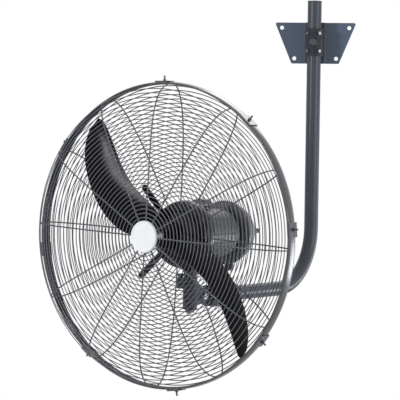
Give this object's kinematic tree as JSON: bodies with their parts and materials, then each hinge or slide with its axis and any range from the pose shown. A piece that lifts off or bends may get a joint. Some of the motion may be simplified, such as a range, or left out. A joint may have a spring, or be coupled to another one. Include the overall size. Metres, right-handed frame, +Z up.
{
  "type": "wall mounted fan",
  "caption": "Wall-mounted industrial fan: J-shaped tube arm on a trapezoid wall plate, tilting and oscillating head in a round wire guard.",
  "frame": {"origin": "middle of the wall plate's back face, on the wall surface", "axes": "+Z up, +Y into the wall, room towards -Y"},
  "size_m": [0.7722, 0.8552, 1.0081],
  "materials": {
    "frame_paint": "dark blue-grey satin paint over steel",
    "cast_paint": "dark grey paint on castings",
    "zinc_steel": "zinc plated fasteners",
    "ground_steel": "ground shaft steel",
    "bearing_steel": "polished bearing steel",
    "bronze": "sintered bronze",
    "link_steel": "oiled dark steel",
    "black_paint": "black satin paint",
    "motor_paint": "near-black motor enamel",
    "cover_paint": "dark grey cover paint",
    "blade_paint": "black satin blade paint",
    "guard_wire": "grey coated wire",
    "band_paint": "dark grey coated band",
    "cap_white": "plain near-white cap",
    "capacitor_case": "black capacitor case",
    "plug_plastic": "black plastic plug",
    "knob_plastic": "black plastic knob",
    "core_steel": "laminated core steel",
    "copper_winding": "varnished copper end turns"
  },
  "bodies": {
    "wall_bracket": {"wall_plate": "frame_paint", "saddle_channel": "frame_paint", "pole_collar": "cast_paint", "collar_set_screws": "zinc_steel", "lock_bolt": "link_steel"},
    "arm": {"arm_tube": "frame_paint", "tube_end_plug": "plug_plastic", "tilt_socket": "cast_paint", "socket_screws": "zinc_steel"},
    "neck": {"tilt_yoke": "cast_paint", "tilt_bolt": "zinc_steel", "tilt_nut": "zinc_steel", "tilt_washers": "zinc_steel", "pivot_bushes": "bronze", "lever_pin": "zinc_steel"},
    "head": {"pivot_pin": "ground_steel", "pin_retainer": "zinc_steel", "motor_foot": "cast_paint", "foot_bolts": "zinc_steel", "front_bell": "black_paint", "motor_shell": "motor_paint", "stator_core": "core_steel", "stator_windings": "copper_winding", "shaft_bearings": "bearing_steel", "capacitor": "capacitor_case", "capacitor_clamp": "black_paint", "gear_case": "black_paint", "rear_cover": "cover_paint", "knob_collar": "black_paint", "front_guard": "guard_wire", "rear_guard": "guard_wire", "guard_mount_ring": "black_paint", "guard_stays": "black_paint", "guard_mount_screws": "black_paint", "rim_band": "band_paint", "rim_clips": "band_paint", "clip_screws": "link_steel", "centre_cap": "cap_white", "cap_plate": "cap_white"},
    "propeller": {"motor_shaft": "ground_steel", "rotor_core": "core_steel", "propeller_hub": "black_paint", "shaft_nut": "zinc_steel", "propeller_blade_1": "blade_paint", "propeller_blade_2": "blade_paint"},
    "crank": {"crank_arm": "link_steel"},
    "link": {"link_rod": "link_steel"},
    "knob": {"clutch_knob": "knob_plastic"}
  },
  "joints": [
    {"name": "arm_swivel", "type": "hinge", "parent": "wall_bracket", "child": "arm", "pos_m": [0, -0.046, 0], "axis": [0, 0, 1], "range_deg": [-17, 73]},
    {"name": "head_tilt", "type": "hinge", "parent": "arm", "child": "neck", "pos_m": [-0.24553, -0.50778, -0.662], "axis": [0.8829, -0.4695, 0], "range_deg": [-6, 30]},
    {"name": "head_oscillation", "type": "hinge", "parent": "neck", "child": "head", "pos_m": [-0.2629, -0.54045, -0.654], "axis": [0, 0, 1], "range_deg": [-40, 40]},
    {"name": "propeller_spin", "type": "hinge", "parent": "head", "child": "propeller", "pos_m": [-0.31689, -0.64199, -0.504], "axis": [0.4695, 0.8829, 0], "continuous": true},
    {"name": "crank_rock", "type": "hinge", "parent": "head", "child": "crank", "pos_m": [-0.18309, -0.39035, -0.604], "axis": [0, 0, 1], "range_deg": [-41, 41]},
    {"name": "link_swing", "type": "hinge", "parent": "crank", "child": "link", "pos_m": [-0.20958, -0.37627, -0.607], "axis": [0, 0, 1], "range_deg": [-41, 41]},
    {"name": "clutch_pull", "type": "slide", "parent": "head", "child": "knob", "axis": [0.4695, 0.8829, 0], "range_m": [0, 0.006]}
  ],
  "couplings": [
    {"joint": "crank_rock", "follows": "head_oscillation", "ratio": -1},
    {"joint": "link_swing", "follows": "head_oscillation", "ratio": 1}
  ]
}
